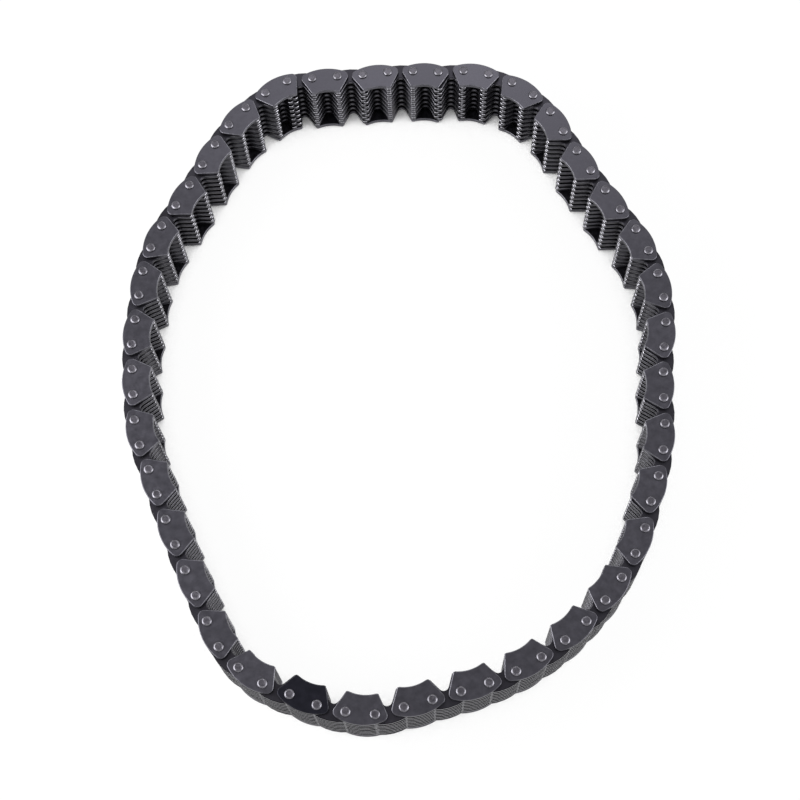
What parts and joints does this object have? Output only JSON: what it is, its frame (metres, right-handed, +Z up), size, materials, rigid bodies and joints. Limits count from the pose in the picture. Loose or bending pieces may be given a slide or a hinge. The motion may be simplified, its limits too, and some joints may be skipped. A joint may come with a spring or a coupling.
{
  "type": "power take-off chain",
  "caption": "Endless inverted-tooth drive chain lying on its side as a closed loop, with laminated toothed plates, outer guide plates and closed-head pins.",
  "frame": {"origin": "middle of the loop, on the surface that the lower pin heads stand on", "axes": "+Z up along the pins, +Y along the loop's longer way, away from the joining link"},
  "size_m": [0.1955, 0.2467, 0.0268],
  "materials": {
    "plate_steel": "oiled dark heat-treated steel, worn bright on the toe tips",
    "guide_steel": "dark grey stamped steel with worn edges",
    "pin_steel": "satin grey steel with closed, slightly mottled heads",
    "black_plate_steel": "black oxide steel"
  },
  "bodies": {
    "inner_link_01": {"inner_link_01": "plate_steel"},
    "link_pair_02": {"link_pair_02": "plate_steel"},
    "guide_link_04": {"guide_link_04": "plate_steel"},
    "inner_link_05": {"inner_link_05": "plate_steel"},
    "link_pair_06": {"link_pair_06": "plate_steel"},
    "guide_link_08": {"guide_link_08": "plate_steel"},
    "inner_link_09": {"inner_link_09": "plate_steel"},
    "link_pair_10": {"link_pair_10": "plate_steel"},
    "guide_link_12": {"guide_link_12": "plate_steel"},
    "inner_link_13": {"inner_link_13": "plate_steel"},
    "link_pair_14": {"link_pair_14": "plate_steel"},
    "guide_link_16": {"guide_link_16": "plate_steel"},
    "inner_link_17": {"inner_link_17": "plate_steel"},
    "link_pair_18": {"link_pair_18": "plate_steel"},
    "guide_link_20": {"guide_link_20": "plate_steel"},
    "inner_link_21": {"inner_link_21": "plate_steel"},
    "link_pair_22": {"link_pair_22": "plate_steel"},
    "guide_link_24": {"guide_link_24": "plate_steel"},
    "inner_link_25": {"inner_link_25": "plate_steel"},
    "link_pair_26": {"link_pair_26": "plate_steel"},
    "guide_link_28": {"guide_link_28": "plate_steel"},
    "inner_link_29": {"inner_link_29": "plate_steel"},
    "link_pair_30": {"link_pair_30": "plate_steel"},
    "guide_link_32": {"guide_link_32": "plate_steel"},
    "inner_link_33": {"inner_link_33": "plate_steel"},
    "link_pair_34": {"link_pair_34": "plate_steel"},
    "guide_link_36": {"guide_link_36": "plate_steel"},
    "inner_link_37": {"inner_link_37": "plate_steel"},
    "link_pair_38": {"link_pair_38": "plate_steel"},
    "guide_link_40": {"guide_link_40": "plate_steel"},
    "inner_link_41": {"inner_link_41": "plate_steel"},
    "link_pair_42": {"link_pair_42": "plate_steel"},
    "guide_link_44": {"guide_link_44": "plate_steel"},
    "inner_link_45": {"inner_link_45": "plate_steel"},
    "link_pair_46": {"link_pair_46": "plate_steel"},
    "guide_link_48": {"guide_link_48": "plate_steel"},
    "inner_link_49": {"inner_link_49": "plate_steel"},
    "link_pair_50": {"link_pair_50": "plate_steel"},
    "guide_link_52": {"guide_link_52": "plate_steel"},
    "inner_link_53": {"inner_link_53": "plate_steel"},
    "link_pair_54": {"link_pair_54": "plate_steel"},
    "guide_link_56": {"guide_link_56": "plate_steel"},
    "inner_link_57": {"inner_link_57": "plate_steel"},
    "link_pair_58": {"link_pair_58": "plate_steel"},
    "guide_link_60": {"guide_link_60": "plate_steel"},
    "inner_link_61": {"inner_link_61": "plate_steel"},
    "link_pair_62": {"link_pair_62": "plate_steel"},
    "guide_link_64": {"guide_link_64": "plate_steel"},
    "inner_link_65": {"inner_link_65": "plate_steel"},
    "link_pair_66": {"link_pair_66": "plate_steel"},
    "guide_link_68": {"guide_link_68": "plate_steel"},
    "inner_link_69": {"inner_link_69": "plate_steel"},
    "link_pair_70": {"link_pair_70": "plate_steel"},
    "joining_link": {"joining_plates": "plate_steel", "joining_guide_top": "black_plate_steel", "joining_guide_bottom": "guide_steel", "joining_pin_a": "pin_steel", "joining_pin_b": "pin_steel"}
  },
  "joints": [
    {"name": "pivot_01", "type": "hinge", "parent": "inner_link_01", "child": "joining_link", "pos_m": [-0.03366, -0.11575, 0.01341], "axis": [0, 0, -1], "range_deg": [-18.02, 31.98]},
    {"name": "pivot_02", "type": "hinge", "parent": "link_pair_02", "child": "inner_link_01", "pos_m": [-0.02453, -0.11847, 0.01341], "axis": [0, 0, -1], "range_deg": [-18.02, 31.98]},
    {"name": "pivot_04", "type": "hinge", "parent": "guide_link_04", "child": "link_pair_02", "pos_m": [-0.00574, -0.11815, 0.01341], "axis": [0, 0, -1], "range_deg": [-11.02, 38.98]},
    {"name": "pivot_05", "type": "hinge", "parent": "inner_link_05", "child": "guide_link_04", "pos_m": [0.00359, -0.11625, 0.01341], "axis": [0, 0, -1], "range_deg": [-11.02, 38.98]},
    {"name": "pivot_06", "type": "hinge", "parent": "link_pair_06", "child": "inner_link_05", "pos_m": [0.01289, -0.11418, 0.01341], "axis": [0, 0, -1], "range_deg": [-11.02, 38.98]},
    {"name": "pivot_08", "type": "hinge", "parent": "guide_link_08", "child": "link_pair_06", "pos_m": [0.03112, -0.10876, 0.01341], "axis": [0, 0, -1], "range_deg": [-16.02, 33.98]},
    {"name": "pivot_09", "type": "hinge", "parent": "inner_link_09", "child": "guide_link_08", "pos_m": [0.03971, -0.10464, 0.01341], "axis": [0, 0, -1], "range_deg": [-16.02, 33.98]},
    {"name": "pivot_10", "type": "hinge", "parent": "link_pair_10", "child": "inner_link_09", "pos_m": [0.04783, -0.09965, 0.01341], "axis": [0, 0, -1], "range_deg": [-6.8, 6.8]},
    {"name": "pivot_12", "type": "hinge", "parent": "guide_link_12", "child": "link_pair_10", "pos_m": [0.06226, -0.08725, 0.01341], "axis": [0, 0, -1], "range_deg": [-16.02, 33.98]},
    {"name": "pivot_13", "type": "hinge", "parent": "inner_link_13", "child": "guide_link_12", "pos_m": [0.06842, -0.07999, 0.01341], "axis": [0, 0, -1], "range_deg": [-16.02, 33.98]},
    {"name": "pivot_14", "type": "hinge", "parent": "link_pair_14", "child": "inner_link_13", "pos_m": [0.07379, -0.07212, 0.01341], "axis": [0, 0, -1], "range_deg": [-18.02, 31.98]},
    {"name": "pivot_16", "type": "hinge", "parent": "guide_link_16", "child": "link_pair_14", "pos_m": [0.08099, -0.05454, 0.01341], "axis": [0, 0, -1], "range_deg": [-6.01, 43.99]},
    {"name": "pivot_17", "type": "hinge", "parent": "inner_link_17", "child": "guide_link_16", "pos_m": [0.0846, -0.04572, 0.01341], "axis": [0, 0, -1], "range_deg": [-16.01, 33.99]},
    {"name": "pivot_18", "type": "hinge", "parent": "link_pair_18", "child": "inner_link_17", "pos_m": [0.08727, -0.03658, 0.01341], "axis": [0, 0, -1], "range_deg": [-16.01, 33.99]},
    {"name": "pivot_20", "type": "hinge", "parent": "guide_link_20", "child": "link_pair_18", "pos_m": [0.08966, -0.0177, 0.01341], "axis": [0, 0, -1], "range_deg": [-8, 42]},
    {"name": "pivot_21", "type": "hinge", "parent": "inner_link_21", "child": "guide_link_20", "pos_m": [0.0907, -0.00824, 0.01341], "axis": [0, 0, -1], "range_deg": [-8, 42]},
    {"name": "pivot_22", "type": "hinge", "parent": "link_pair_22", "child": "inner_link_21", "pos_m": [0.09206, 0.00119, 0.01341], "axis": [0, 0, -1], "range_deg": [-8, 42]},
    {"name": "pivot_24", "type": "hinge", "parent": "guide_link_24", "child": "link_pair_22", "pos_m": [0.09412, 0.02008, 0.01341], "axis": [0, 0, -1], "range_deg": [-18, 32]},
    {"name": "pivot_25", "type": "hinge", "parent": "inner_link_25", "child": "guide_link_24", "pos_m": [0.09317, 0.02956, 0.01341], "axis": [0, 0, -1], "range_deg": [-17.99, 32.01]},
    {"name": "pivot_26", "type": "hinge", "parent": "link_pair_26", "child": "inner_link_25", "pos_m": [0.0909, 0.03881, 0.01341], "axis": [0, 0, -1], "range_deg": [-17.99, 32.01]},
    {"name": "pivot_28", "type": "hinge", "parent": "guide_link_28", "child": "link_pair_26", "pos_m": [0.08265, 0.05593, 0.01341], "axis": [0, 0, -1], "range_deg": [-8.99, 41.01]},
    {"name": "pivot_29", "type": "hinge", "parent": "inner_link_29", "child": "guide_link_28", "pos_m": [0.07807, 0.06428, 0.01341], "axis": [0, 0, -1], "range_deg": [-8.99, 41.01]},
    {"name": "pivot_30", "type": "hinge", "parent": "link_pair_30", "child": "inner_link_29", "pos_m": [0.07364, 0.07271, 0.01341], "axis": [0, 0, -1], "range_deg": [-8.99, 41.01]},
    {"name": "pivot_32", "type": "hinge", "parent": "guide_link_32", "child": "link_pair_30", "pos_m": [0.06523, 0.08981, 0.01341], "axis": [0, 0, -1], "range_deg": [-8.98, 41.02]},
    {"name": "pivot_33", "type": "hinge", "parent": "inner_link_33", "child": "guide_link_32", "pos_m": [0.06125, 0.09846, 0.01341], "axis": [0, 0, -1], "range_deg": [-22.98, 27.02]},
    {"name": "pivot_34", "type": "hinge", "parent": "link_pair_34", "child": "inner_link_33", "pos_m": [0.05544, 0.106, 0.01341], "axis": [0, 0, -1], "range_deg": [-22.98, 27.02]},
    {"name": "pivot_36", "type": "hinge", "parent": "guide_link_36", "child": "link_pair_34", "pos_m": [0.03954, 0.11628, 0.01341], "axis": [0, 0, -1], "range_deg": [-22.98, 27.02]},
    {"name": "pivot_37", "type": "hinge", "parent": "inner_link_37", "child": "guide_link_36", "pos_m": [0.03027, 0.11849, 0.01341], "axis": [0, 0, -1], "range_deg": [-22.98, 27.02]},
    {"name": "pivot_38", "type": "hinge", "parent": "link_pair_38", "child": "inner_link_37", "pos_m": [0.02075, 0.11856, 0.01341], "axis": [0, 0, -1], "range_deg": [-3.98, 46.02]},
    {"name": "pivot_40", "type": "hinge", "parent": "guide_link_40", "child": "link_pair_38", "pos_m": [0.00176, 0.11988, 0.01341], "axis": [0, 0, -1], "range_deg": [-14.98, 35.02]},
    {"name": "pivot_41", "type": "hinge", "parent": "inner_link_41", "child": "guide_link_40", "pos_m": [-0.00774, 0.1193, 0.01341], "axis": [0, 0, -1], "range_deg": [-5.98, 44.02]},
    {"name": "pivot_42", "type": "hinge", "parent": "inner_link_41", "child": "link_pair_42", "pos_m": [-0.01727, 0.11939, 0.01341], "axis": [0, 0, 1], "range_deg": [-11.98, 38.02]},
    {"name": "pivot_44", "type": "hinge", "parent": "link_pair_42", "child": "guide_link_44", "pos_m": [-0.0363, 0.11858, 0.01341], "axis": [0, 0, 1], "range_deg": [-35.98, 14.02]},
    {"name": "pivot_45", "type": "hinge", "parent": "guide_link_44", "child": "inner_link_45", "pos_m": [-0.0446, 0.11391, 0.01341], "axis": [0, 0, 1], "range_deg": [-18.98, 31.02]},
    {"name": "pivot_46", "type": "hinge", "parent": "inner_link_45", "child": "link_pair_46", "pos_m": [-0.05206, 0.10799, 0.01341], "axis": [0, 0, 1], "range_deg": [-18.98, 31.02]},
    {"name": "pivot_48", "type": "hinge", "parent": "link_pair_46", "child": "guide_link_48", "pos_m": [-0.0638, 0.09306, 0.01341], "axis": [0, 0, 1], "range_deg": [-13.98, 36.02]},
    {"name": "pivot_49", "type": "hinge", "parent": "guide_link_48", "child": "inner_link_49", "pos_m": [-0.06851, 0.08478, 0.01341], "axis": [0, 0, 1], "range_deg": [-8.98, 41.02]},
    {"name": "pivot_50", "type": "hinge", "parent": "inner_link_49", "child": "link_pair_50", "pos_m": [-0.07338, 0.07659, 0.01341], "axis": [0, 0, 1], "range_deg": [-8.98, 41.02]},
    {"name": "pivot_52", "type": "hinge", "parent": "link_pair_50", "child": "guide_link_52", "pos_m": [-0.08353, 0.06048, 0.01341], "axis": [0, 0, 1], "range_deg": [-17.99, 32.01]},
    {"name": "pivot_53", "type": "hinge", "parent": "guide_link_52", "child": "inner_link_53", "pos_m": [-0.08752, 0.05183, 0.01341], "axis": [0, 0, 1], "range_deg": [-17.99, 32.01]},
    {"name": "pivot_54", "type": "hinge", "parent": "inner_link_53", "child": "link_pair_54", "pos_m": [-0.09026, 0.04271, 0.01341], "axis": [0, 0, 1], "range_deg": [-17.99, 32.01]},
    {"name": "pivot_56", "type": "hinge", "parent": "link_pair_54", "child": "guide_link_56", "pos_m": [-0.093, 0.02385, 0.01341], "axis": [0, 0, 1], "range_deg": [-11, 39]},
    {"name": "pivot_57", "type": "hinge", "parent": "guide_link_56", "child": "inner_link_57", "pos_m": [-0.09412, 0.0144, 0.01341], "axis": [0, 0, 1], "range_deg": [-18, 32]},
    {"name": "pivot_58", "type": "hinge", "parent": "inner_link_57", "child": "link_pair_58", "pos_m": [-0.09392, 0.00487, 0.01341], "axis": [0, 0, 1], "range_deg": [-11, 39]},
    {"name": "pivot_60", "type": "hinge", "parent": "link_pair_58", "child": "guide_link_60", "pos_m": [-0.09301, -0.01416, 0.01341], "axis": [0, 0, 1], "range_deg": [-18, 32]},
    {"name": "pivot_61", "type": "hinge", "parent": "guide_link_60", "child": "inner_link_61", "pos_m": [-0.09116, -0.0235, 0.01341], "axis": [0, 0, 1], "range_deg": [-18.01, 31.99]},
    {"name": "pivot_62", "type": "hinge", "parent": "inner_link_61", "child": "link_pair_62", "pos_m": [-0.08802, -0.03249, 0.01341], "axis": [0, 0, 1], "range_deg": [-8.01, 41.99]},
    {"name": "pivot_64", "type": "hinge", "parent": "link_pair_62", "child": "guide_link_64", "pos_m": [-0.08221, -0.05063, 0.01341], "axis": [0, 0, 1], "range_deg": [-11.01, 38.99]},
    {"name": "pivot_65", "type": "hinge", "parent": "guide_link_64", "child": "inner_link_65", "pos_m": [-0.07907, -0.05962, 0.01341], "axis": [0, 0, 1], "range_deg": [-11.01, 38.99]},
    {"name": "pivot_66", "type": "hinge", "parent": "inner_link_65", "child": "link_pair_66", "pos_m": [-0.07576, -0.06856, 0.01341], "axis": [0, 0, 1], "range_deg": [-11.02, 38.98]},
    {"name": "pivot_68", "type": "hinge", "parent": "link_pair_66", "child": "guide_link_68", "pos_m": [-0.06869, -0.08624, 0.01341], "axis": [0, 0, 1], "range_deg": [-11.02, 38.98]},
    {"name": "pivot_69", "type": "hinge", "parent": "guide_link_68", "child": "inner_link_69", "pos_m": [-0.06491, -0.09499, 0.01341], "axis": [0, 0, 1], "range_deg": [-28.02, 21.98]},
    {"name": "pivot_70", "type": "hinge", "parent": "inner_link_69", "child": "link_pair_70", "pos_m": [-0.05862, -0.10214, 0.01341], "axis": [0, 0, 1], "range_deg": [-22.02, 27.98]}
  ],
  "couplings": [
    {"joint": "pivot_01", "follows": "pivot_10", "ratio": 0.1149},
    {"joint": "pivot_02", "follows": "pivot_10", "ratio": 0.2836},
    {"joint": "pivot_04", "follows": "pivot_10", "ratio": 0.49256},
    {"joint": "pivot_05", "follows": "pivot_10", "ratio": 0.44269},
    {"joint": "pivot_06", "follows": "pivot_10", "ratio": 0.82821},
    {"joint": "pivot_08", "follows": "pivot_10", "ratio": 0.94148},
    {"joint": "pivot_09", "follows": "pivot_10", "ratio": 0.66477},
    {"joint": "pivot_12", "follows": "pivot_10", "ratio": 0.95348},
    {"joint": "pivot_13", "follows": "pivot_10", "ratio": 0.57071},
    {"joint": "pivot_14", "follows": "pivot_10", "ratio": 0.6871},
    {"joint": "pivot_16", "follows": "pivot_10", "ratio": 0.48921},
    {"joint": "pivot_17", "follows": "pivot_10", "ratio": 0.17601},
    {"joint": "pivot_18", "follows": "pivot_10", "ratio": 0.13222},
    {"joint": "pivot_20", "follows": "pivot_10", "ratio": -0.19373},
    {"joint": "pivot_21", "follows": "pivot_10", "ratio": -0.26632},
    {"joint": "pivot_22", "follows": "pivot_10", "ratio": -0.60025},
    {"joint": "pivot_24", "follows": "pivot_10", "ratio": -0.75211},
    {"joint": "pivot_25", "follows": "pivot_10", "ratio": -0.56945},
    {"joint": "pivot_26", "follows": "pivot_10", "ratio": -0.95171},
    {"joint": "pivot_28", "follows": "pivot_10", "ratio": -1.0113},
    {"joint": "pivot_29", "follows": "pivot_10", "ratio": -0.67925},
    {"joint": "pivot_30", "follows": "pivot_10", "ratio": -0.93778},
    {"joint": "pivot_32", "follows": "pivot_10", "ratio": -0.82509},
    {"joint": "pivot_33", "follows": "pivot_10", "ratio": -0.45133},
    {"joint": "pivot_34", "follows": "pivot_10", "ratio": -0.41884},
    {"joint": "pivot_36", "follows": "pivot_10", "ratio": -0.14754},
    {"joint": "pivot_37", "follows": "pivot_10", "ratio": 0.1472},
    {"joint": "pivot_38", "follows": "pivot_10", "ratio": 0.33294},
    {"joint": "pivot_40", "follows": "pivot_10", "ratio": 0.55292},
    {"joint": "pivot_41", "follows": "pivot_10", "ratio": 0.49861},
    {"joint": "pivot_42", "follows": "pivot_10", "ratio": 0.87498},
    {"joint": "pivot_44", "follows": "pivot_10", "ratio": 0.9494},
    {"joint": "pivot_45", "follows": "pivot_10", "ratio": 0.65551},
    {"joint": "pivot_46", "follows": "pivot_10", "ratio": 0.97484},
    {"joint": "pivot_48", "follows": "pivot_10", "ratio": 0.90697},
    {"joint": "pivot_49", "follows": "pivot_10", "ratio": 0.52054},
    {"joint": "pivot_50", "follows": "pivot_10", "ratio": 0.64009},
    {"joint": "pivot_52", "follows": "pivot_10", "ratio": 0.46876},
    {"joint": "pivot_53", "follows": "pivot_10", "ratio": 0.17654},
    {"joint": "pivot_54", "follows": "pivot_10", "ratio": 0.1422},
    {"joint": "pivot_56", "follows": "pivot_10", "ratio": -0.2075},
    {"joint": "pivot_57", "follows": "pivot_10", "ratio": -0.2966},
    {"joint": "pivot_58", "follows": "pivot_10", "ratio": -0.65295},
    {"joint": "pivot_60", "follows": "pivot_10", "ratio": -0.83984},
    {"joint": "pivot_61", "follows": "pivot_10", "ratio": -0.66065},
    {"joint": "pivot_62", "follows": "pivot_10", "ratio": -1.0274},
    {"joint": "pivot_64", "follows": "pivot_10", "ratio": -1.0076},
    {"joint": "pivot_65", "follows": "pivot_10", "ratio": -0.62814},
    {"joint": "pivot_66", "follows": "pivot_10", "ratio": -0.84529},
    {"joint": "pivot_68", "follows": "pivot_10", "ratio": -0.69546},
    {"joint": "pivot_69", "follows": "pivot_10", "ratio": -0.33679},
    {"joint": "pivot_70", "follows": "pivot_10", "ratio": -0.33725}
  ]
}
